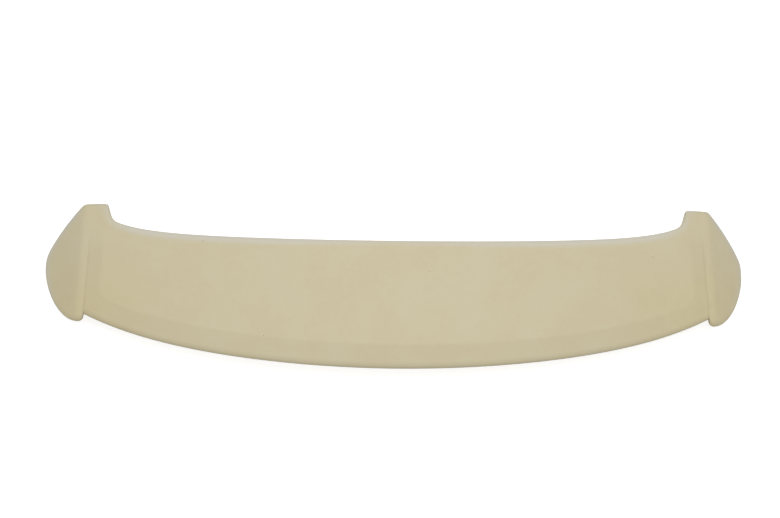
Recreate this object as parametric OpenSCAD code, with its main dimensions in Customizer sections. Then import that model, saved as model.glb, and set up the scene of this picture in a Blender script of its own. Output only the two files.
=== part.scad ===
// Roof spoiler for a small hatchback: one rigid moulding, unpainted.
// Millimetres. X runs across the car, +Y towards the front, +Z up.
// The origin is the middle of the centre bonding pad, where the part meets the tailgate.

/* [Overall size] */
// Width over both end fins
overall_w = 1187; // [1000:1:1300]
// Length of the plate from nose to trailing edge on the centre line
centre_chord = 212.1; // [180:0.1:250]
// Fall of the plate towards the back, as it sits on the car, in degrees
roof_slope = 6; // [0:0.5:12]

/* [Plan shape] */
// How far the ends of the trailing edge sit ahead of its middle
trail_bow = 92.4; // [70:0.1:105]
// How far the ends of the leading edge sit ahead of its middle
lead_bow = 20.3; // [5:0.1:30]
// How far the horn tips stand ahead of the middle of the leading edge
horn_reach = 65.2; // [50:0.1:90]
// Width of each horn, from its inner wall to the crest of the fin
horn_w = 34.8; // [28:0.1:48]
// Corner rounding at the tip of each horn
horn_r = 3.5; // [1:0.5:6]
// Height of the long concave sweep from leading edge to horn
sweep_h = 18.5; // [8:0.1:24]
// Length over which that sweep dies away
sweep_len = 55; // [40:1:70]
// Rounding where that sweep turns into the horn's inner wall
sweep_r = 4.4; // [2:0.1:7]
// Steepness of the horn's inner wall, rise per millimetre across
horn_wall = 4.4; // [2:0.1:5]

/* [End fins] */
// Reach of each fin outside its crest
fin_reach = 64.5; // [50:0.5:75]
// How far the crest spreads outwards from horn tip to fin tip
crest_splay = 11; // [0:0.5:16]
// Drop of the fin's outer edge below its crest
fin_drop = 46; // [25:1:60]
// Width of the level strip outside the crest line
crest_flat = 5; // [0:0.5:8]
// Softness of the bend from that strip to the slope of the fin
crest_soft = 5; // [3:0.5:9]
// Lateral distance the straight front edge starts outside the crest
fin_lead = 13.5; // [8:0.5:18]
// Size of the round where the front edge turns down to the apex
fin_round = 5.9; // [5:0.1:10]
// Outward bow of that front edge at its middle
fin_bulge = 3.4; // [0:0.1:5]
// Position of the apex behind the middle of the leading edge
apex_back = 31.2; // [22:0.1:50]
// Fullness of the curved rear edge
fin_full = 1.72; // [1.5:0.01:2.2]
// How far the fin tip runs on behind the end of the plate
tip_over = 11.8; // [9:0.1:16]
// Corner radius of the fin tip, next to the notch
tip_r = 8; // [6:0.5:9]

/* [Top surface] */
// Radius of the crown across the car
crown_r = 4000; // [2500:100:8000]
// Radius of the camber from nose to trailing edge
camber_r = 7000; // [3000:100:12000]
// Width of the bevelled band along the trailing edge
band_w = 38; // [25:1:50]
// Width of the bevelled band beside each crest
side_band_w = 32; // [20:1:45]
// Fall of the rear band, per millimetre
band_fall = 0.16; // [0.08:0.01:0.3]
// Fall of the side bands at the back, per millimetre
side_fall = 0.2; // [0.05:0.01:0.3]
// Softness of the crease where the bands begin
crease_soft = 1.5; // [1:0.5:8]
// Corner radius of the centre panel
panel_r = 32; // [20:1:50]
// Depth of the shallow groove between side band and crest, at its rear end
groove_d = 0.5; // [0:0.1:2]
// Half width of that groove
groove_w = 1.5; // [0.8:0.1:2]

/* [Thickness] */
// Thickness of the rounded nose
nose_t = 12; // [7:0.5:14]
// Width of the rounding at the nose, square to the edge
nose_r = 8; // [4:0.5:10]
// Thickness of the part under each horn, at its front
horn_t = 17; // [12:0.5:24]
// Thickness of the trailing edge
tail_t = 10.5; // [6:0.5:14]
// Depth of the rounding at the trailing edge
tail_r = 3.5; // [2.5:0.5:6]
// Thickness at the heel of the contact land
heel_t = 21; // [16:0.5:30]
// Position of the heel, as a share of the plate length
heel_at = 0.42; // [0.3:0.01:0.55]
// Thickness of the blade behind the heel
blade_t = 14; // [10:0.5:20]
// Wall thickness of the fins, measured upright
fin_t = 11.5; // [8:0.5:16]

/* [Bonding pads] */
// Length of each flat pad across the car
pad_l = 110; // [60:1:140]
// Width of each flat pad along the car
pad_w = 34; // [20:1:44]
// Corner radius of the pads
pad_r = 6; // [2:0.5:10]
// How far the pads stand proud of the land
pad_h = 1.6; // [1.2:0.1:3]
// Distance from the nose to the middle of the pads
pad_back = 46; // [38:1:52]
// Spacing of the pads across the car
pad_pitch = 190; // [150:1:200]

/* [Hidden] */
// Names of the pieces
// Which piece is drawn

cream = [0.80, 0.76, 0.65];
half = overall_w / 2;
reach = half + 0.3;
crest_rear = half - fin_reach;
crest_front = crest_rear - crest_splay;
notch_x = crest_rear - tip_r;
wall_x = crest_front - horn_w - sweep_r;
apex_y = -apex_back;

// Small helpers
function mix(a, b, f) = a + (b - a) * f;
function ease(f) = let (t = max(0, min(1, f))) t * t * (3 - 2 * t);
function hinge(t, soft) = (t + sqrt(t * t + soft * soft)) / 2;
function lower(a, b, soft) = (a + b) / 2 - sqrt(pow((a - b) / 2, 2) + soft * soft);
function upper(a, b, soft) = -lower(-a, -b, soft);

// Plan outline, seen from above, for the right-hand half
late_bow = 0.23;
function trail_y(x) = let (u = x / notch_x)
    -centre_chord + trail_bow * mix(pow(u, 2), pow(u, 6), late_bow);
tip_y = trail_y(notch_x) - tip_over;
function inner_y(x) = lead_bow * pow(x / crest_rear, 2)
    + sweep_h * exp((x - wall_x) / sweep_len)
    + horn_wall * hinge(x - wall_x, sweep_r);
fin_r = 2.5;
fin_x0 = crest_front + fin_lead;
fin_y0 = horn_reach - 2 * fin_r;
fin_slope = (fin_y0 - apex_y - fin_r) / (reach - fin_x0 + fin_round * fin_round / 2);
function fin_front_y(x) = let (t = (x - fin_x0) / (reach - fin_x0))
    fin_y0 - fin_slope * (x - fin_x0 + fin_round * fin_round / (reach + 2 - x))
    + 4 * fin_bulge * max(0, t * (1 - t));
function front_y(x) = lower(lower(inner_y(x), horn_reach, horn_r), fin_front_y(x), fin_r);
function fin_rear_y(x) = let (t = max(0, (x - crest_rear - 1) / (reach - crest_rear - 1)))
    apex_y - (apex_y - tip_y) * pow(1 - pow(min(1, t), fin_full), 1 / fin_full);
function tip_round_y(x) = tip_y + tip_r - sqrt(max(0, pow(tip_r, 2) - pow(crest_rear - x, 2)));
function rear_y(x) = x < notch_x - 0.01 ? trail_y(x)
    : x < crest_rear ? tip_round_y(x) : fin_rear_y(x);

// Distance outside the crest line of the fin, negative over the plate
function crest_x(y) = crest_front + (horn_reach - y) / (horn_reach - tip_y) * crest_splay;

// Length along a row over which the nose is rounded
function nose_run(x, l) = min(nose_r * min(3.5, norm([1, front_y(x + 0.5) - front_y(x - 0.5)])),
    (x < crest_front ? 0.14 : 0.07) * l);

// Height of the smooth underlying sheet, then what is taken off it
camber_y = -10;
function sheet_z(x, y) = let (c = crest_x(y), xi = min(x, c))
    -xi * xi / (2 * crown_r) - max(0, x - c) * c / crown_r
    - pow(y - camber_y, 2) / (2 * camber_r);
function roll_z(x, y) = fin_drop / (fin_reach - crest_flat)
    * hinge(x - crest_x(y) - crest_flat, crest_soft);
function band_z(x, y) = let (
        side_from = crest_x(y) - side_band_w,
        tr = max(0, band_w - (y - trail_y(min(x, notch_x))) + panel_r),
        ts = max(0, min(x, crest_x(y) - tip_r) - side_from + panel_r),
        a = pow(tr, 4), b = pow(ts, 4),
        fade = ease((35 - y) / 70),
        fall = (band_fall * a + side_fall * fade * b) / max(1, a + b))
    fall * (hinge(pow(a + b, 0.25) - panel_r, crease_soft) - hinge(-panel_r, crease_soft));
function groove_z(x, y) = groove_d * ease((25 - y) / 60)
    * exp(-pow((x - crest_x(y) + 0.9 * tip_r) / groove_w, 2));
function top_z(x, y) = sheet_z(x, y) - roll_z(x, y) - band_z(x, y) - groove_z(x, y);

// Underside: contact land, heel and blade, running into the back of the fins
function nose_depth(x) = mix(nose_t, max(nose_t, horn_t),
    ease((x - wall_x + 22) / 22) * (1 - ease((x - crest_front + 6) / 14)));
function under_o(x, s) = s < heel_at ? mix(nose_depth(x), heel_t, s / heel_at)
    : mix(heel_t, mix(blade_t, band_w * band_fall + tail_t, (s - heel_at) / (1 - heel_at)),
          ease((s - heel_at) / 0.1));
function full_t(x, y, s) = let (share = ease((x - crest_x(y) + 30) / 30))
    top_z(x, y) - sheet_z(x, y) + upper(under_o(x, s), roll_z(x, y) + fin_t * share, 2.5 * share);

// One row of the mesh: [x at the front edge, x at the rear edge]
rim_in = [4.5, 3.4, 2.4, 1.5, 0.7, 0];
crest_rows = [-9.6, -9, -8.3, -7.2, -6, -4.7, -3.2, -1.5, 0.6, 3.4, 7];
function spread(n, f0, f1, r0, r1) = [for (i = [0:n - 1]) [mix(f0, f1, i / n), mix(r0, r1, i / n)]];
last = crest_rows[len(crest_rows) - 1] * tip_r / 9;
rows = concat(
    spread(13, 0, wall_x - 60, 0, wall_x - 60),
    spread(5, wall_x - 60, wall_x - 7, wall_x - 60, wall_x - 38),
    spread(11, wall_x - 7, wall_x + 12, wall_x - 38, notch_x - 26),
    spread(5, wall_x + 12, crest_front - 1.1 * tip_r, notch_x - 26, notch_x - 0.1 * tip_r),
    [for (o = crest_rows) [crest_front + o * tip_r / 9, crest_rear + o * tip_r / 9]],
    [for (i = [1:10]) [mix(crest_front + last, half - rim_in[0], i / 11), mix(crest_rear + last, half - rim_in[0], i / 11)]],
    [for (d = rim_in) [half - d, half - d]]
);

// Share of the full thickness left as the row nears the outer edge of the fin
function edge_share(x) = let (d = min(1, (half - x) / rim_in[0])) max(0.12, sqrt(1 - pow(1 - d, 2)));

arc = [20, 45, 68, 90];
rear_stops = [48, 43, 40.5, 38, 35.5, 33, 25, 15];
under_stops = [0.96, 0.9, 0.76, 0.64, 0.52, 0.48, 0.45, 0.42, 0.3, 0.17, 0.08];

function ring(row) = let (
        f = [row[0], front_y(row[0])], r = [row[1], rear_y(row[1])],
        l = norm(r - f), rn = nose_run(row[0], l), rt = min(tail_r, 0.085 * l),
        k = min(1, l / 160), g = edge_share(row[0]),
        s0 = rn / l, s1 = 1 - k * rear_stops[0] / l,
        at = function (s) f + (r - f) * s,
        thick = function (p, s) mix(mix(nose_depth(p[0]), tail_t, s), full_t(p[0], p[1], s),
            ease(min(s, 1 - s) * l / (k * 26))),
        // w runs from 0 on the top skin, by 1 at the middle of the rim, to 2 underneath
        put = function (s, w) let (p = at(s))
            [p[0], p[1], top_z(p[0], p[1]) - thick(p, s) / 2 * (1 + (w - 1) * g)],
        nose = function (a) s0 * (1 - cos(a)),
        tail = function (a) 1 - rt / l * (1 - cos(a)))
    concat(
        [put(0, 1)],
        [for (a = arc) put(nose(a), 1 - sin(a))],
        [for (i = [1:7]) put(mix(s0, s1, i / 8), 0)],
        [for (d = rear_stops) put(1 - k * d / l, 0)],
        [for (i = [3:-1:0]) put(tail(arc[i]), 1 - sin(arc[i]))],
        [put(1, 1)],
        [for (a = arc) put(tail(a), 1 + sin(a))],
        [for (s = under_stops) put(s, 2)],
        [for (i = [3:-1:0]) put(nose(arc[i]), 1 + sin(arc[i]))]);

function mirrored(pts) = [for (p = pts) [-p[0], p[1], p[2]]];

module skin() {
    right = [for (r = rows) ring(r)];
    n = len(right);
    m = len(right[0]);
    rings = concat([for (i = [n - 1:-1:1]) mirrored(right[i])], right);
    total = len(rings);
    points = [for (r = rings) for (p = r) p];
    faces = concat(
        [for (i = [0:total - 2]) for (j = [0:m - 1]) let (
                a = i * m + j, b = i * m + (j + 1) % m, c = a + m, d = b + m)
            each i < n - 1 ? [[a, c, b], [b, c, d]] : [[a, c, d], [a, d, b]]],
        [[for (j = [0:m - 1]) j], [for (j = [m - 1:-1:0]) (total - 1) * m + j]]);
    polyhedron(points, faces, convexity = 6);
}

// Flat pads on the contact land, each square to the land under it
pad_tilt = atan((heel_t - nose_t) / (heel_at * centre_chord) + (pad_back + camber_y) / camber_r);
function pad_y(x) = front_y(abs(x)) - pad_back;
function pad_z(x) = let (y = pad_y(x), s = pad_back / (front_y(abs(x)) - rear_y(abs(x))))
    sheet_z(abs(x), y) - under_o(abs(x), s);

module pad_shape() offset(pad_r) square([pad_l - 2 * pad_r, pad_w - 2 * pad_r], center = true);

module bonding_pad(x)
    translate([x, pad_y(x), pad_z(x)])
        rotate([pad_tilt, 0, 0]) rotate([0, asin(x / crown_r), 0])
            translate([0, 0, -pad_h]) linear_extrude(pad_h + 4) pad_shape();

// The part as it sits on the car, with the centre pad at the origin
module spoiler_moulding() color(cream)
    rotate([roof_slope, 0, 0])
        translate(-[0, pad_y(0), pad_z(0)] + pad_h * [0, -sin(pad_tilt), cos(pad_tilt)])
            union() {
                skin();
                for (i = [-2:2]) bonding_pad(i * pad_pitch);
            }

spoiler_moulding();
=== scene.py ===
# %% [markdown]
# # A raw roof spoiler
# This is the spoiler that is bonded along the top of a small hatchback's tailgate, as it
# leaves the mould: one rigid skin of cream polyurethane, not yet painted. A flat centre
# panel is framed by two bevelled bands, and at each end a crest rolls over into a fin that
# runs down beside the rear window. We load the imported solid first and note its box,
# because the dressed part has to stay inside it.

# %% Load the frame
import math

import bmesh
import bpy
from mathutils import Matrix, Vector


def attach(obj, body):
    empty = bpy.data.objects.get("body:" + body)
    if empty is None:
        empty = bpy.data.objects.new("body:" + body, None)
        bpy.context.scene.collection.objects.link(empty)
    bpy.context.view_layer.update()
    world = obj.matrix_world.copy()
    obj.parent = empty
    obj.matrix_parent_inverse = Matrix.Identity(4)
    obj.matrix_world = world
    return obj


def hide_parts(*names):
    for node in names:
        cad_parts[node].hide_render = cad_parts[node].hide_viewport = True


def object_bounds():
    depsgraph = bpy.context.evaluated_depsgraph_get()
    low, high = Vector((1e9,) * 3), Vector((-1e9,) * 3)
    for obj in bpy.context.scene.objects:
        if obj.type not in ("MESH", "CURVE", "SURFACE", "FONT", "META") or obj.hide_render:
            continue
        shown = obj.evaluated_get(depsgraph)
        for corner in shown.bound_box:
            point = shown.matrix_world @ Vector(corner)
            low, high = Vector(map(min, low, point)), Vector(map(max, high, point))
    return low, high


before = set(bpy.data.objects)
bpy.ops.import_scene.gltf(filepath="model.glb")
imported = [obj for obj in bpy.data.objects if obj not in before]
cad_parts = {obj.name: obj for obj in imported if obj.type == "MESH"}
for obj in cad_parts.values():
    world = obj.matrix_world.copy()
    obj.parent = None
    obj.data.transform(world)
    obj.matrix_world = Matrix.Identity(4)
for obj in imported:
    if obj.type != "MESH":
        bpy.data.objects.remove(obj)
cad_low, cad_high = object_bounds()
MM = 0.001
print("box of the solid, mm:", [round(v / MM, 1) for v in cad_high - cad_low])

# %% [markdown]
# A moulding like this is drawn in three steps: its outline seen from above, the height of
# its top skin, and the thickness under that skin. Each step is a handful of short formulas
# in millimetres, so that the whole part follows from a few sizes, and the mesh can be as
# fine as it needs to be. Small helpers come first. `hinge` is a crease with a soft bend,
# and `lower` takes the smaller of two values with a rounded corner between them.

# %% Helpers for soft shapes
def mix(a, b, share):
    return a + (b - a) * share


def ease(share):
    t = max(0.0, min(1.0, share))
    return t * t * (3 - 2 * t)


def hinge(t, soft):
    return (t + math.hypot(t, soft)) / 2


def lower(a, b, soft):
    return (a + b) / 2 - math.hypot((a - b) / 2, soft)


def upper(a, b, soft):
    return -lower(-a, -b, soft)


print("eased quarter, half, three quarters:", [round(ease(t), 3) for t in (0.25, 0.5, 0.75)])

# %% [markdown]
# The outline. The leading edge is nearly straight, then sweeps up a long hollow into a
# horn at each end. The trailing edge is a shallow bow. The fin starts as a straight slanted
# edge, turns a rounded apex and comes back in a full curve to its tip, which stands a
# little behind the plate and leaves a small notch. Only the right half is described,
# because the left is its mirror image.

# %% Outline seen from above
HALF = (cad_high.x - cad_low.x) / 2 / MM
CHORD, TRAIL_BOW, LEAD_BOW = 212.1, 92.4, 20.3
HORN_REACH, HORN_W, HORN_R, HORN_WALL = 65.2, 34.8, 3.5, 4.4
SWEEP_H, SWEEP_LEN, SWEEP_R = 18.5, 55, 4.4
FIN_REACH, CREST_SPLAY, FIN_LEAD, FIN_ROUND, FIN_BULGE = 64.5, 11, 13.5, 5.9, 3.4
FIN_FULL, FIN_R = 1.72, 2.5
APEX_Y, TIP_OVER, TIP_R = -31.2, 11.8, 8
EVEN_BOW, LATE_BOW = 0.77, 0.23
PAST_CUT, TIP_FLAT, FIN_TURN = 0.3, 1, 2

REACH = HALF + PAST_CUT
CREST_REAR = HALF - FIN_REACH
CREST_FRONT = CREST_REAR - CREST_SPLAY
NOTCH_X = CREST_REAR - TIP_R
WALL_X = CREST_FRONT - HORN_W - SWEEP_R
FIN_X0 = CREST_FRONT + FIN_LEAD
FIN_Y0 = HORN_REACH - 2 * FIN_R
FIN_SLOPE = (FIN_Y0 - APEX_Y - FIN_R) / (REACH - FIN_X0 + FIN_ROUND ** 2 / 2)


def trail_y(x):
    u = x / NOTCH_X
    return -CHORD + TRAIL_BOW * (EVEN_BOW * u ** 2 + LATE_BOW * u ** 6)


TIP_Y = trail_y(NOTCH_X) - TIP_OVER


def front_y(x):
    inner = (LEAD_BOW * (x / CREST_REAR) ** 2 + SWEEP_H * math.exp((x - WALL_X) / SWEEP_LEN)
             + HORN_WALL * hinge(x - WALL_X, SWEEP_R))
    t = (x - FIN_X0) / (REACH - FIN_X0)
    fin = (FIN_Y0 - FIN_SLOPE * (x - FIN_X0 + FIN_ROUND ** 2 / (REACH + FIN_TURN - x))
           + 4 * FIN_BULGE * max(0, t * (1 - t)))
    return lower(lower(inner, HORN_REACH, HORN_R), fin, FIN_R)


def rear_y(x):
    if x < NOTCH_X - 0.01:
        return trail_y(x)
    if x < CREST_REAR:
        return TIP_Y + TIP_R - math.sqrt(max(0, TIP_R ** 2 - (CREST_REAR - x) ** 2))
    t = min(1, max(0, (x - CREST_REAR - TIP_FLAT) / (REACH - CREST_REAR - TIP_FLAT)))
    return APEX_Y - (APEX_Y - TIP_Y) * (1 - t ** FIN_FULL) ** (1 / FIN_FULL)


def crest_x(y):
    return CREST_FRONT + (HORN_REACH - y) / (HORN_REACH - TIP_Y) * CREST_SPLAY


print("crest at the horn and at the tip, mm:", CREST_FRONT, CREST_REAR)

# %% [markdown]
# The top skin. A very gentle crown and camber carry everything. From that sheet we take
# off the roll of the fin outside the crest, and the fall of the bevelled bands inside it.
# The rear band and the side bands meet in one rounded corner: the fourth-power sum of the
# two distances makes that corner round without any extra geometry. A shallow groove
# parts the side band from the crest, and dies out towards the horn.

# %% Height of the top skin
CROWN_R, CAMBER_R, CAMBER_Y = 4000, 7000, -10
FIN_DROP, CREST_FLAT, CREST_SOFT = 46, 5, 5
BAND_W, SIDE_BAND_W, BAND_FALL, SIDE_FALL = 38, 32, 0.16, 0.2
CREASE_SOFT, PANEL_R = 1.5, 32
GROOVE_D, GROOVE_W, GROOVE_IN = 0.5, 1.5, 0.9
SIDE_FADE_Y, SIDE_FADE = 35, 70
GROOVE_FADE_Y, GROOVE_FADE = 25, 60


def sheet_z(x, y):
    c = crest_x(y)
    inside = min(x, c)
    return (-inside ** 2 / (2 * CROWN_R) - max(0, x - c) * c / CROWN_R
            - (y - CAMBER_Y) ** 2 / (2 * CAMBER_R))


def roll_z(x, y):
    slope = FIN_DROP / (FIN_REACH - CREST_FLAT)
    return slope * hinge(x - crest_x(y) - CREST_FLAT, CREST_SOFT)


def border(x, y):
    c = crest_x(y)
    rear = max(0, BAND_W - (y - trail_y(min(x, NOTCH_X))) + PANEL_R) ** 4
    side = max(0, min(x, c - TIP_R) - (c - SIDE_BAND_W) + PANEL_R) ** 4
    fade = ease((SIDE_FADE_Y - y) / SIDE_FADE)
    fall = (BAND_FALL * rear + SIDE_FALL * fade * side) / max(1, rear + side)
    return (rear + side) ** 0.25 - PANEL_R, fall


def band_z(x, y):
    reach_in, fall = border(x, y)
    return fall * (hinge(reach_in, CREASE_SOFT) - hinge(-PANEL_R, CREASE_SOFT))


def groove_share(x, y, width=GROOVE_W):
    from_middle = x - crest_x(y) + GROOVE_IN * TIP_R
    return ease((GROOVE_FADE_Y - y) / GROOVE_FADE) * math.exp(-(from_middle / width) ** 2)


def top_z(x, y):
    return sheet_z(x, y) - roll_z(x, y) - band_z(x, y) - GROOVE_D * groove_share(x, y)


print("fall of the rear band at the middle, mm:", round(band_z(0, -CHORD), 1))

# %% [markdown]
# The thickness. Under the nose the part is thin where it overlaps the roof seam. A sloping
# land carries the adhesive and ends in a heel, behind which the underside steps up into a
# slimmer blade. The fins are a plain wall. All edges are rounded: `lift` runs from 0 at
# the middle of a rim to 1 where its round has ended. Near the fin's edge a row is short, so
# below a length of 160 mm what lies along it is made shorter in proportion.

# %% Thickness and one point of the skin
NOSE_T, NOSE_R, HORN_T, TAIL_T, TAIL_R = 12, 8, 17, 10.5, 3.5
HEEL_T, HEEL_AT, BLADE_T, FIN_T = 21, 0.42, 14, 11.5
FIN_RIM, RIM_BLEND, SHORT_ROW = 4.5, 26, 160
HORN_FROM, HORN_UNTIL, HORN_FADE = 22, 6, 14
HEEL_STEP, FIN_BLEND, FIN_SOFT = 0.1, 30, 2.5
NOSE_STRETCH, NOSE_SHARE, FIN_NOSE_SHARE = 3.5, 0.14, 0.07


def nose_depth(x):
    into_horn = ease((x - WALL_X + HORN_FROM) / HORN_FROM)
    in_horn = into_horn * (1 - ease((x - CREST_FRONT + HORN_UNTIL) / HORN_FADE))
    return mix(NOSE_T, HORN_T, in_horn)


def under_drop(x, share):
    if share < HEEL_AT:
        return mix(nose_depth(x), HEEL_T, share / HEEL_AT)
    blade = mix(BLADE_T, BAND_W * BAND_FALL + TAIL_T, (share - HEEL_AT) / (1 - HEEL_AT))
    return mix(HEEL_T, blade, ease((share - HEEL_AT) / HEEL_STEP))


def thickness(x, y, share, length):
    in_fin = ease((x - crest_x(y) + FIN_BLEND) / FIN_BLEND)
    fin_back = roll_z(x, y) + FIN_T * in_fin
    full = (top_z(x, y) - sheet_z(x, y)
            + upper(under_drop(x, share), fin_back, FIN_SOFT * in_fin))
    from_rim = min(share, 1 - share) * length / (RIM_BLEND * min(1, length / SHORT_ROW))
    return mix(mix(nose_depth(x), TAIL_T, share), full, ease(from_rim))


def steepness(x):
    return math.hypot(1, front_y(x + 0.5) - front_y(x - 0.5))


def nose_run(x, length):
    share = NOSE_SHARE if x < CREST_FRONT else FIN_NOSE_SHARE
    return min(NOSE_R * min(NOSE_STRETCH, steepness(x)), share * length)


def skin_point(row, stop, upper_side):
    front = Vector((row[0], front_y(row[0])))
    rear = Vector((row[1], rear_y(row[1])))
    length = (rear - front).length
    share, lift = stop(length, nose_run(row[0], length))
    x, y = front.lerp(rear, share)
    t = thickness(x, y, share, length)
    edge = min(1, (HALF - row[0]) / FIN_RIM)
    flat = math.sqrt(max(0, 1 - (1 - edge) ** 2))
    towards = -1 if upper_side else 1
    return Vector((x, y, top_z(x, y) - t / 2 * (1 + towards * lift * flat)))


depths = [round(under_drop(0, share), 1) for share in (0, HEEL_AT, 1)]
print("depth of the underside at nose, heel and tail, mm:", depths)

# %% [markdown]
# Now the rows and the stops. A row is a line of the mesh from the leading edge to the
# trailing edge, and a stop is a place along that row. Rows stand close together at the
# horn, the crest and the outer rim, where the shape turns quickly, and far apart along the
# calm middle. Each gap is then split evenly, so one number sets how fine the mesh is.

# %% Rows across and stops along
SPLIT, ARC_STEPS = 3, 5
TAIL_SHARE = 0.085


def spread(count, front_from, front_to, rear_from, rear_to):
    return [(mix(front_from, front_to, i / count), mix(rear_from, rear_to, i / count))
            for i in range(count)]


CREST_OFFSETS = [o * TIP_R / 9
                 for o in (-9.6, -9, -8.3, -7.2, -6, -4.7, -3.2, -1.5, 0.6, 3.4, 7)]
RIM_OFFSETS = (4.5, 3.4, 2.4, 1.5, 0.7, 0.25, 0)
coarse = (
    spread(13, 0, WALL_X - 60, 0, WALL_X - 60)
    + spread(5, WALL_X - 60, WALL_X - 7, WALL_X - 60, WALL_X - 38)
    + spread(11, WALL_X - 7, WALL_X + 12, WALL_X - 38, NOTCH_X - 26)
    + spread(5, WALL_X + 12, CREST_FRONT - 1.1 * TIP_R, NOTCH_X - 26, NOTCH_X - 0.1 * TIP_R)
    + [(CREST_FRONT + o, CREST_REAR + o) for o in CREST_OFFSETS]
    + spread(11, CREST_FRONT + CREST_OFFSETS[-1], HALF - FIN_RIM,
             CREST_REAR + CREST_OFFSETS[-1], HALF - FIN_RIM)[1:]
    + [(HALF - d, HALF - d) for d in RIM_OFFSETS])
rows = [(mix(a[0], b[0], i / SPLIT), mix(a[1], b[1], i / SPLIT))
        for a, b in zip(coarse, coarse[1:]) for i in range(SPLIT)] + [coarse[-1]]


def nose_stop(angle):
    return lambda length, run: (run / length * (1 - math.cos(angle)), math.sin(angle))


def tail_stop(angle):
    return lambda length, run: (1 - min(TAIL_R / length, TAIL_SHARE) * (1 - math.cos(angle)),
                                math.sin(angle))


def rear_share(length, back):
    return 1 - min(1, length / SHORT_ROW) * back / length


def land_stop(f):
    return lambda length, run: (mix(run / length, rear_share(length, BAND_STOPS[0]), f), 1.0)


def band_stop(back):
    return lambda length, run: (rear_share(length, back), 1.0)


LAND_STEPS, LAND_CROWDING = 34, 1.3
BAND_STOPS = (48, 45, 43, 41.5, 40, 39, 38, 37, 36, 34.5, 33, 30, 25, 20, 15, 10)
quarter = [math.pi / 2 * i / ARC_STEPS for i in range(ARC_STEPS + 1)]
stops = ([nose_stop(a) for a in quarter]
         + [land_stop((i / LAND_STEPS) ** LAND_CROWDING) for i in range(1, LAND_STEPS)]
         + [band_stop(back) for back in BAND_STOPS]
         + [tail_stop(a) for a in reversed(quarter)])
print("rows on each side and stops along a row:", len(rows), len(stops))

# %% [markdown]
# Some of the finish follows the shape, so every vertex will keep a few numbers between 0 and
# 1 for it. Most of them place painted light and shade: a painted highlight along the leading
# edge and the edges of the fins, and painted shade in the groove, on the bevelled border and
# along the rear rim. They come from plain distances in millimetres: to the leading edge, to
# the edge of a fin, to the crease of the bevelled border and to the rear rim, and from how far
# the vertex lies towards an end, where the foam has yellowed. `ramp` rises softly from 0 to 1
# over a width. The painted highlights along the edges come first.

# %% Painted highlights along the edges
# a paler, cooler colour along the leading edge and the fin edges is a painted highlight, for the
# reflection of the bright room on their rounded edges
NOSE_HIGHLIGHT_W, NOSE_HIGHLIGHT_WIDER, HIGHLIGHT_SEARCH, NOSE_HIGHLIGHT_GROWS = 12, 1.5, 14, 250
NOSE_HIGHLIGHT_MIDDLE, NOSE_HIGHLIGHT_BY_HORN = 0.75, 0.45
BY_HORN_FROM, BY_HORN_FADE, OFF_HORN = 50, 60, 12
FIN_EDGE_W, FIN_EDGE_Y, FIN_EDGE_FADE = 14, -115, 50
SOFT_START = 20


def ramp(value, start, width):
    return ease((value - start) / width)


# share of the painted highlight along the leading edge, strongest towards the ends and fading at
# the horn
def nose_highlight_share(p):
    near = range(-HIGHLIGHT_SEARCH, HIGHLIGHT_SEARCH + 1)
    gap = min(math.hypot(dx, front_y(p.x + dx) - p.y) for dx in near)
    sideways = ramp(p.x, 0, NOSE_HIGHLIGHT_GROWS)
    width = mix(NOSE_HIGHLIGHT_W, NOSE_HIGHLIGHT_WIDER * NOSE_HIGHLIGHT_W, sideways)
    by_horn = mix(1, NOSE_HIGHLIGHT_BY_HORN, ramp(p.x, WALL_X - BY_HORN_FROM, BY_HORN_FADE))
    off_horn = 1 - ramp(p.x, WALL_X + OFF_HORN, SOFT_START)
    return (mix(NOSE_HIGHLIGHT_MIDDLE, 1, sideways) * by_horn * off_horn
            * (1 - ramp(gap, 1, width - 1)))


# share of the painted highlight, a paler cooler colour near the edges of a fin, on the fin only
def fin_highlight_share(p):
    near = [(dx, p.x + dx) for dx in range(-HIGHLIGHT_SEARCH, HIGHLIGHT_SEARCH + 1, 2) if p.x + dx < HALF]
    gap = min([HALF - p.x] + [math.hypot(dx, min(abs(front_y(x) - p.y), abs(rear_y(x) - p.y)))
                              for dx, x in near])
    on_fin = ramp(p.x, crest_x(p.y), SOFT_START) * ramp(p.y, FIN_EDGE_Y, FIN_EDGE_FADE)
    return on_fin * (1 - ramp(gap, 0, FIN_EDGE_W))


# the share of the painted highlight half a strip behind the nose
nose_middle = Vector((0, front_y(0) - NOSE_HIGHLIGHT_W / 2))
print("trimmed share half a strip behind the nose:", round(nose_highlight_share(nose_middle), 2))

# %% [markdown]
# The other numbers are made in the same way. The border's painted shade starts at its crease
# and ends before the crest. The painted shade along the rear rim is weaker on the fins. In the
# photograph the right end is a little yellower than the left, so the left gets a smaller share.

# %% Painted shade on the border and rear rim, and yellowed ends
# where the painted shade of the bevelled border lies
BORDER_ON_SIDE, SIDE_FROM, CREASE_FROM, CREASE_FADE = 0.65, 45, -1, 3
CREST_CLEAR, CREST_FADE = 1.5 * TIP_R, 0.6 * TIP_R
# width and strength of the painted shade along the rear rim
RIM_W, RIM_MOST, RIM_ON_FIN = 8.5, 0.7, 0.5
YELLOW_X, YELLOW_FADE_X, YELLOW_Y, YELLOW_FADE_Y = 300, 250, -100, 120
LEFT_YELLOW = 0.6


# share of painted shade on the bevelled border, past its crease and short of the crest
def border_shade_share(p):
    past_crease = ramp(border(p.x, p.y)[0], CREASE_FROM, CREASE_FADE)
    off_crest = 1 - ramp(p.x, crest_x(p.y) - CREST_CLEAR, CREST_FADE)
    on_side = ramp(p.x, NOTCH_X - SIDE_FROM, SOFT_START)
    return past_crease * off_crest * mix(1, BORDER_ON_SIDE, on_side)


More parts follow.
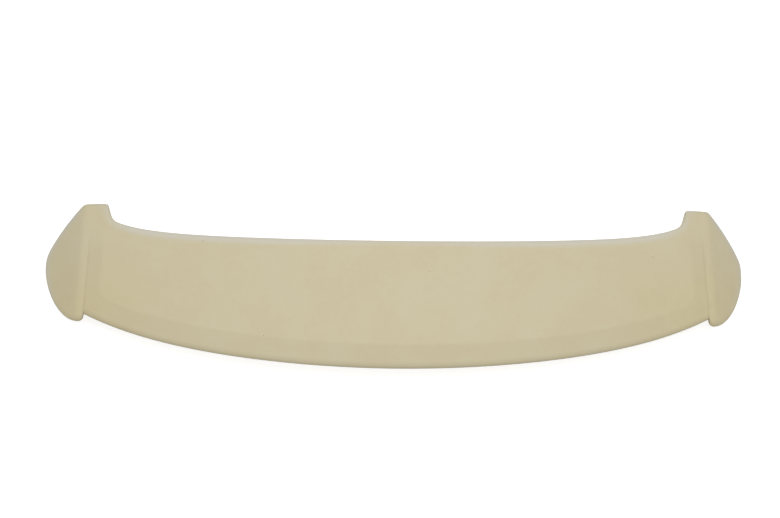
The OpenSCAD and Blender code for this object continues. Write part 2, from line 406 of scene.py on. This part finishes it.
# share of painted shade along the rear rim, darkest at the rim and weaker on the fins
def rim_shade_share(p, row):
    gap = math.hypot(p.x - row[1], p.y - rear_y(row[1]))
    on_fin = mix(1, RIM_ON_FIN, ramp(p.x, CREST_REAR, SOFT_START))
    return on_fin * min(RIM_MOST, max(0, 1 - gap / RIM_W))


def yellow_share(p, right_side):
    towards_end = ramp(p.x, YELLOW_X, YELLOW_FADE_X)
    towards_rear = 1 - ramp(p.y, YELLOW_Y, YELLOW_FADE_Y)
    return towards_end * towards_rear * (1 if right_side else LEFT_YELLOW)


tip = Vector((CREST_REAR, TIP_Y))
tips = [round(yellow_share(tip, right_side), 2) for right_side in (True, False)]
print("yellowed share at the right and the left tip:", tips)

# %% [markdown]
# The skin itself starts as two flat grids, one for the top and one for the underside. Each
# grid vertex knows its row and its stop from where it lies, so we can carry it to its place
# on the part. The two rims then lie on each other and are merged, which closes the shell.
# A grid keeps long even strips of faces, and these catch the light without ripples. The
# painted highlight along the nose is strongest on top, weaker round the nose and gone
# underneath, and only the first stops of a row can lie on it.

# %% Top and underside grids
# the painted highlight along the nose lies only on the first stops of a row
HIGHLIGHT_STOPS = ARC_STEPS + 9
# the first number is the width of the painted shade in the groove
GROOVE_SHADE_W, NOSE_RIM_SHARE, WELD = 2.4, 0.4, 0.01


def skin_half(bm, upper_side):
    across, along = 2 * (len(rows) - 1), len(stops) - 1
    grid = bmesh.ops.create_grid(bm, x_segments=across, y_segments=along, size=0.5)
    for v in grid["verts"]:
        i = round((v.co.x + 0.5) * across) - len(rows) + 1
        j = round((0.5 - v.co.y) * along)
        p = skin_point(rows[abs(i)], stops[j], upper_side)
        v.co = (math.copysign(p.x, i) if i else 0, p.y, p.z)
        # painted shade: a dark line in the groove, standing in for the shade that falls into it
        v[groove_shade_layer] = groove_share(p.x, p.y, GROOVE_SHADE_W) if upper_side else 0
        # painted highlight along the nose, strongest on the top side and gone underneath
        past_rim = min(1, j / ARC_STEPS)
        facing = mix(NOSE_RIM_SHARE, 1 if upper_side else 0, past_rim)
        v[nose_highlight_layer] = facing * nose_highlight_share(p) if j < HIGHLIGHT_STOPS else 0
        # painted shade on the bevelled border, on top only
        v[border_shade_layer] = border_shade_share(p) if upper_side else 0
        # painted highlight near the fin edges, on top only
        v[fin_highlight_layer] = fin_highlight_share(p) if upper_side and p.x > CREST_FRONT else 0
        # painted shade along the rear rim
        v[rim_shade_layer] = rim_shade_share(p, rows[abs(i)])
        v[yellowed] = yellow_share(p, i > 0)


moulding = bmesh.new()
groove_shade_layer = moulding.verts.layers.float.new("groove")
nose_highlight_layer = moulding.verts.layers.float.new("nose_highlight")
border_shade_layer = moulding.verts.layers.float.new("painted_border_shade")
fin_highlight_layer = moulding.verts.layers.float.new("fin_highlight")
rim_shade_layer = moulding.verts.layers.float.new("rear_rim_shade")
yellowed = moulding.verts.layers.float.new("yellowed_end")
skin_half(moulding, True)
skin_half(moulding, False)
bmesh.ops.remove_doubles(moulding, verts=moulding.verts, dist=WELD)
bmesh.ops.recalc_face_normals(moulding, faces=moulding.faces)
open_edges = sum(not e.is_manifold for e in moulding.edges)
print("faces in the skin:", len(moulding.faces), "open edges:", open_edges)

# %% [markdown]
# Five flat pads stand proud of the land underneath. On the car they sit on the tailgate
# and leave an even gap for the adhesive bead around them. Each is a box with its upright
# corners rounded first and its lower rim eased after, then turned square to the land.
# The mesh should come out the same on every run, down to the order of its faces. A set has
# no fixed order, so edges and vertices are gathered in lists without repeats. The bevel of
# the rim can also build its faces in another order each time, so at the end all faces are
# sorted by the numbers of their vertices.

# %% Bonding pads
PAD_L, PAD_W, PAD_R, PAD_H, PAD_BACK, PAD_PITCH = 110, 34, 6, 1.6, 46, 190
PAD_ROOT, PAD_EASE = 4, 0.5
pad_tilt = math.atan((HEEL_T - NOSE_T) / (HEEL_AT * CHORD) + (PAD_BACK + CAMBER_Y) / CAMBER_R)


def pad_place(x):
    y = front_y(abs(x)) - PAD_BACK
    share = PAD_BACK / (front_y(abs(x)) - rear_y(abs(x)))
    return Vector((x, y, sheet_z(abs(x), y) - under_drop(abs(x), share)))


def once_each(elements):
    return list(dict.fromkeys(elements))


def bonding_pad(bm, x):
    made = bmesh.ops.create_cube(bm, size=1)["verts"]
    bmesh.ops.scale(bm, verts=made, vec=(PAD_L, PAD_W, PAD_H + PAD_ROOT))
    bmesh.ops.translate(bm, verts=made, vec=(0, 0, (PAD_ROOT - PAD_H) / 2))
    edges = once_each(e for v in made for e in v.link_edges)
    upright = [e for e in edges if abs(e.verts[0].co.z - e.verts[1].co.z) > PAD_H]
    corner = bmesh.ops.bevel(bm, geom=upright, affect="EDGES", offset=PAD_R, segments=6,
                             profile=0.5, material=-1)
    made = [v for v in once_each([*made, *corner["verts"]]) if v.is_valid]
    rim = once_each(e for v in made for e in v.link_edges
                    if all(abs(w.co.z + PAD_H) < WELD for w in e.verts))
    eased = bmesh.ops.bevel(bm, geom=rim, affect="EDGES", offset=PAD_EASE, segments=2,
                            profile=0.5, material=-1)
    made = [v for v in once_each([*made, *eased["verts"]]) if v.is_valid]
    turn = Matrix.Rotation(pad_tilt, 3, "X") @ Matrix.Rotation(math.asin(x / CROWN_R), 3, "Y")
    bmesh.ops.rotate(bm, verts=made, cent=(0, 0, 0), matrix=turn)
    bmesh.ops.translate(bm, verts=made, vec=pad_place(x))


def place_in_order(face):
    first, second, third = sorted(v.index for v in face.verts)[:3]
    count = len(moulding.verts)
    return (first * count + second) * count + third


for step in range(-2, 3):
    bonding_pad(moulding, step * PAD_PITCH)
moulding.verts.index_update()
moulding.faces.sort(key=place_in_order)
print("pads tilted by, degrees:", round(math.degrees(pad_tilt), 2))

# %% [markdown]
# The plate falls a little towards the back on the car, and the origin is the face of the
# centre pad. Both moves are made on the mesh, so the finished object itself stays at the
# origin, unturned.

# %% Set the moulding in the car's frame
ROOF_SLOPE = math.radians(6)


def new_object(name, bm):
    mesh = bpy.data.meshes.new(name)
    bm.to_mesh(mesh)
    bm.free()
    made = bpy.data.objects.new(name, mesh)
    bpy.context.scene.collection.objects.link(made)
    return made


pad_face = pad_place(0) + PAD_H * Vector((0, math.sin(pad_tilt), -math.cos(pad_tilt)))
bmesh.ops.translate(moulding, verts=moulding.verts, vec=-pad_face)
bmesh.ops.rotate(moulding, verts=moulding.verts, cent=(0, 0, 0),
                 matrix=Matrix.Rotation(ROOF_SLOPE, 3, "X"))
bmesh.ops.scale(moulding, verts=moulding.verts, vec=(MM, MM, MM))
for face in moulding.faces:
    face.smooth = True
spoiler = new_object("spoiler_skin", moulding)
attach(spoiler, "root")
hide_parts("spoiler_moulding")
print("spoiler box, mm:", [round(v / MM, 1) for v in spoiler.dimensions])

# %% [markdown]
# Now the finish. Colours are written as sRGB hex values, and one function turns them into
# the linear values that the renderer works with. Pattern sizes are written in millimetres.
# One small helper adds a node with its settings, values and links, so each step of a
# material stays a single statement.

# %% Material helpers
def hex_colour(text):
    parts = [int(text[i:i + 2], 16) / 255 for i in (1, 3, 5)]
    return (*[c / 12.92 if c <= 0.04045 else ((c + 0.055) / 1.055) ** 2.4 for c in parts], 1)


def per_metre(size_mm):
    return 1000 / size_mm


def new_material(name):
    material = bpy.data.materials.new(name)
    material.use_nodes = True
    material.node_tree.nodes.clear()
    return material, material.node_tree


def add_node(tree, kind, settings=None, inputs=None, links=None):
    node = tree.nodes.new(kind)
    for key, value in (settings or {}).items():
        setattr(node, key, value)
    for key, value in (inputs or {}).items():
        node.inputs[key].default_value = value
    for key, source in (links or {}).items():
        tree.links.new(source, node.inputs[key])
    return node


print("cream, linear:", [round(c, 3) for c in hex_colour("#CDC3A4")[:3]])

# %% [markdown]
# The material is raw rigid polyurethane, cast in a closed tool. Its skin is a warm cream
# that is never quite even: broad clouds of 85 mm where the foam has cured warmer or cooler,
# and flecks of 9 mm on top. Both patterns read Object coordinates, so they keep their real
# size wherever the part is used.

# %% Cream with clouds and flecks
CLOUD_MM, FLECK_MM, FLECK_MOST = 85, 9, 0.3

# raw cast polyurethane gives the eye a warm, dull, slightly clouded cream
raw_cast, tree = new_material("raw_cast_polyurethane")
place = add_node(tree, "ShaderNodeTexCoord").outputs["Object"]
clouds = add_node(tree, "ShaderNodeTexNoise",
                  inputs={"Scale": per_metre(CLOUD_MM), "Detail": 3, "Roughness": 0.55},
                  links={"Vector": place})
tone = add_node(tree, "ShaderNodeValToRGB", links={"Fac": clouds.outputs["Fac"]})
for element, position, hex_text in zip(tone.color_ramp.elements, (0.3, 0.7),
                                       ("#CBBF9C", "#CDC3A4")):
    element.position, element.color = position, hex_colour(hex_text)
flecks = add_node(tree, "ShaderNodeTexNoise",
                  inputs={"Scale": per_metre(FLECK_MM), "Detail": 4, "Roughness": 0.6},
                  links={"Vector": place})
fleck_share = add_node(tree, "ShaderNodeMapRange",
                       inputs={"From Min": 0.35, "From Max": 0.7, "To Max": FLECK_MOST},
                       links={"Value": flecks.outputs["Fac"]})
colour = add_node(tree, "ShaderNodeMix", {"data_type": "RGBA"}, inputs={7: hex_colour("#C9BD99")},
                  links={0: fleck_share.outputs["Result"], 6: tone.outputs["Color"]})
print("clouds and flecks per metre:", round(per_metre(CLOUD_MM)), round(per_metre(FLECK_MM)))

# %% [markdown]
# Next come the zones that follow the shape, read from the numbers on the vertices. Along the
# nose and the edges of the fins a paler, cooler colour is a painted highlight, for the
# reflection of the bright room on their rounded edges. The bevelled border comes out a shade
# darker as painted shade, and the darker colour in the groove and along the rear rim is
# painted shade too. The ends have yellowed.

# %% Painted light and shade, and yellowing, that follow the shape
# a dull brown: painted shade in the groove and on the border, and real dirt in the handling marks
DUST_AND_SHADE = "#8C8064"
# painted shade: groove, border, rear rim; painted highlight: nose, fin edges; the foam's own
# colour: yellowed ends
ZONES = (("groove", 0.12, DUST_AND_SHADE), ("nose_highlight", 0.9, "#CFCCC2"),
         ("painted_border_shade", 0.035, DUST_AND_SHADE), ("fin_highlight", 0.5, "#C4C4BD"),
         ("rear_rim_shade", 0.34, "#8F866C"), ("yellowed_end", 0.15, "#CCB452"))

for name, amount, hex_text in ZONES:
    zone = add_node(tree, "ShaderNodeAttribute", {"attribute_name": name})
    share = add_node(tree, "ShaderNodeMath", {"operation": "MULTIPLY"}, inputs={1: amount},
                     links={0: zone.outputs["Fac"]})
    colour = add_node(tree, "ShaderNodeMix", {"data_type": "RGBA"},
                      inputs={7: hex_colour(hex_text)},
                      links={0: share.outputs["Value"], 6: colour.outputs[2]})
print("zones in the finish:", len(ZONES))

# %% [markdown]
# Two traces of use and making come on top. The part is lifted by its ends, so these carry
# faint smudges of about 34 mm. And here and there a bubble has left a pinhole about 2 mm
# wide: a flat cell pattern with one hole in each cell of about 260 mm, shifted so that one
# of them lies near the rear crease.

# %% Handling marks and pinholes
MARK_MM, MARK_DIRT = 34, 0.08
HOLE_SPACING, HOLE_SHIFT = 260, (-0.2, 0.135, 0)
HOLE_R, HOLE_RIM_R, HOLE_DIRT = 0.6, 1.1, 0.5

marks = add_node(tree, "ShaderNodeTexNoise",
                 inputs={"Scale": per_metre(MARK_MM), "Detail": 2, "Roughness": 0.5},
                 links={"Vector": place})
mark_share = add_node(tree, "ShaderNodeMapRange",
                      inputs={"From Min": 0.45, "From Max": 0.7, "To Max": MARK_DIRT},
                      links={"Value": marks.outputs["Fac"]})
at_end = add_node(tree, "ShaderNodeAttribute", {"attribute_name": "yellowed_end"})
end_share = add_node(tree, "ShaderNodeMath", {"operation": "MULTIPLY"},
                     links={0: mark_share.outputs["Result"], 1: at_end.outputs["Fac"]})
colour = add_node(tree, "ShaderNodeMix", {"data_type": "RGBA"}, inputs={7: hex_colour(DUST_AND_SHADE)},
                  links={0: end_share.outputs["Value"], 6: colour.outputs[2]})
shifted = add_node(tree, "ShaderNodeMapping", inputs={"Location": HOLE_SHIFT},
                   links={"Vector": place})
holes = add_node(tree, "ShaderNodeTexVoronoi", {"voronoi_dimensions": "2D"},
                 inputs={"Scale": per_metre(HOLE_SPACING)},
                 links={"Vector": shifted.outputs["Vector"]})
hole_share = add_node(tree, "ShaderNodeMapRange",
                      inputs={"From Min": HOLE_R / HOLE_SPACING,
                              "From Max": HOLE_RIM_R / HOLE_SPACING,
                              "To Min": HOLE_DIRT, "To Max": 0},
                      links={"Value": holes.outputs["Distance"]})
colour = add_node(tree, "ShaderNodeMix", {"data_type": "RGBA"}, inputs={7: hex_colour("#6E6149")},
                  links={0: hole_share.outputs["Result"], 6: colour.outputs[2]})
print("one pinhole in each cell of, mm:", HOLE_SPACING)

# %% [markdown]
# The skin is dull with a faint cool sheen, because the tool is blasted, not polished. The
# blasting leaves a grain of about half a millimetre. That is too fine to show in the render,
# where a pixel is 1.65 mm, so it is drawn at 1.4 mm, close to one pixel.

# %% Dull skin with a blasted grain
GRAIN_MM, GRAIN_STRENGTH, GRAIN_HEIGHT = 1.4, 0.15, 0.2 * MM
IOR, DULL_LOW, DULL_HIGH = 1.49, 0.5, 0.6

dull = add_node(tree, "ShaderNodeMapRange",
                inputs={"From Min": 0.3, "From Max": 0.7, "To Min": DULL_LOW,
                        "To Max": DULL_HIGH},
                links={"Value": flecks.outputs["Fac"]})
grain = add_node(tree, "ShaderNodeTexNoise",
                 inputs={"Scale": per_metre(GRAIN_MM), "Detail": 2, "Roughness": 0.5},
                 links={"Vector": place})
bump = add_node(tree, "ShaderNodeBump",
                inputs={"Strength": GRAIN_STRENGTH, "Distance": GRAIN_HEIGHT},
                links={"Height": grain.outputs["Fac"]})
skin = add_node(tree, "ShaderNodeBsdfPrincipled",
                inputs={"IOR": IOR, "Sheen Weight": 0.5, "Sheen Roughness": 0.3,
                        "Sheen Tint": hex_colour("#DCE6F5")},
                links={"Base Color": colour.outputs[2], "Roughness": dull.outputs["Result"],
                       "Normal": bump.outputs["Normal"]})
add_node(tree, "ShaderNodeOutputMaterial", links={"Surface": skin.outputs["BSDF"]})
spoiler.data.materials.append(raw_cast)
print("finish:", spoiler.data.materials[0].name, "with nodes:", len(tree.nodes))

# %% [markdown]
# The stage is a wide pale floor just below the fins. The camera sees it lifted to white,
# while its own diffuse layer still takes the part's soft shadow.

# %% Floor
FLOOR_GAP, FLOOR_HALF, FLOOR_LIFT = 0.002, 6, 0.65
FLOOR_Z = cad_low.z - FLOOR_GAP

# matt painted board gives the eye an even white with only a soft shadow on it
studio_floor, tree = new_material("white_studio_floor")
seen = add_node(tree, "ShaderNodeLightPath")
paint = add_node(tree, "ShaderNodeBsdfDiffuse", inputs={"Color": hex_colour("#E2E2E2")})
to_camera = add_node(tree, "ShaderNodeMath", {"operation": "MULTIPLY"}, inputs={1: FLOOR_LIFT},
                     links={0: seen.outputs["Is Camera Ray"]})
lift = add_node(tree, "ShaderNodeEmission", inputs={"Color": (1, 1, 1, 1)},
                links={"Strength": to_camera.outputs["Value"]})
both = add_node(tree, "ShaderNodeAddShader",
                links={0: paint.outputs["BSDF"], 1: lift.outputs["Emission"]})
add_node(tree, "ShaderNodeOutputMaterial", links={"Surface": both.outputs["Shader"]})

ground = bmesh.new()
bmesh.ops.create_grid(ground, x_segments=1, y_segments=1, size=FLOOR_HALF)
bmesh.ops.translate(ground, verts=ground.verts, vec=(0, 0, FLOOR_Z))
floor = new_object("floor", ground)
floor.data.materials.append(studio_floor)
print("floor below the fins, mm:", round((cad_low.z - FLOOR_Z) / MM, 1))

# %% [markdown]
# The world is an even white sky, and a broad lamp hangs above, so that what faces up is
# lighter than the fins and bands that turn away. A weak cool lamp ahead of the car stands
# for a window, and cools the nose. Together they come to a plain level, at which the cream
# looks as it is written. The camera and reflections see the sky as white.

# %% Sky and lamps
SKY_LEVEL, SKY_SHOWN = 0.646, 1

scene = bpy.context.scene
world = bpy.data.worlds.new("studio")
scene.world = world
world.use_nodes = True
sky = world.node_tree
sky.nodes.clear()
ray = add_node(sky, "ShaderNodeLightPath")
plain, bright = (add_node(sky, "ShaderNodeBackground",
                          inputs={"Color": (1, 1, 1, 1), "Strength": strength})
                 for strength in (SKY_LEVEL, SKY_SHOWN))
either = add_node(sky, "ShaderNodeMath", {"operation": "MAXIMUM"},
                  links={0: ray.outputs["Is Camera Ray"], 1: ray.outputs["Is Glossy Ray"]})
shown = add_node(sky, "ShaderNodeMixShader",
                 links={0: either.outputs["Value"], 1: plain.outputs["Background"],
                        2: bright.outputs["Background"]})
add_node(sky, "ShaderNodeOutputWorld", links={"Surface": shown.outputs["Shader"]})


def area_lamp(name, place, aim, size, watts, hex_text):
    lamp = bpy.data.lights.new(name, "AREA")
    lamp.shape, lamp.size, lamp.energy = "DISK", size, watts
    lamp.color = hex_colour(hex_text)[:3]
    holder = bpy.data.objects.new(name, lamp)
    holder.location = place
    holder.rotation_euler = (Vector(aim) - Vector(place)).to_track_quat("-Z", "Y").to_euler()
    scene.collection.objects.link(holder)


area_lamp("top_softbox", place=(0.1, 0.1, 2.9), aim=(0, 0, 0), size=1.6, watts=26.5,
          hex_text="#FFFFFF")
area_lamp("front_window", place=(0, 3.0, 0.9), aim=(0, 0, 0), size=2.0, watts=4,
          hex_text="#A8CCFF")

# %% [markdown]
# The camera stands behind the car and high above it, turned a little from the left, with a
# short telephoto lens. It is given as a distance, three angles and the point it aims at,
# which were fitted to the outline in the photograph, in the frame of the plate.

# %% Camera
CAMERA_D = 2.8
TURN, LEAN, ROLL = (math.radians(a) for a in (2.9405, 12.0208, 0.6082))
FOCUS = Vector((-16.7, -29.1, -15.0))
IMAGE_W, MM_PER_PIXEL, SENSOR_W = 780, 1.6539, 36

outward = Vector((-math.sin(TURN), -math.sin(LEAN) * math.cos(TURN),
                  math.cos(LEAN) * math.cos(TURN))).normalized()
side = (-outward).cross(Vector((0, math.cos(LEAN), math.sin(LEAN)))).normalized()
over = side.cross(-outward)
rolled_side = math.cos(ROLL) * side + math.sin(ROLL) * over
rolled_over = math.cos(ROLL) * over - math.sin(ROLL) * side
slope = Matrix.Rotation(ROOF_SLOPE, 3, "X")
turn = slope @ Matrix((rolled_side, rolled_over, outward)).transposed()
stand = slope @ ((FOCUS - pad_face) * MM + outward * CAMERA_D)
lens = bpy.data.cameras.new("camera")
lens.sensor_width = SENSOR_W
lens.lens = SENSOR_W * CAMERA_D / MM / MM_PER_PIXEL / IMAGE_W
camera = bpy.data.objects.new("camera", lens)
camera.matrix_world = Matrix.Translation(stand) @ turn.to_4x4()
scene.collection.objects.link(camera)
scene.camera = camera
scene.view_settings.view_transform = "Standard"
print("lens, mm:", round(lens.lens, 1), "camera at, m:", [round(v, 3) for v in stand])

# %% Update the view layer
bpy.context.view_layer.update()
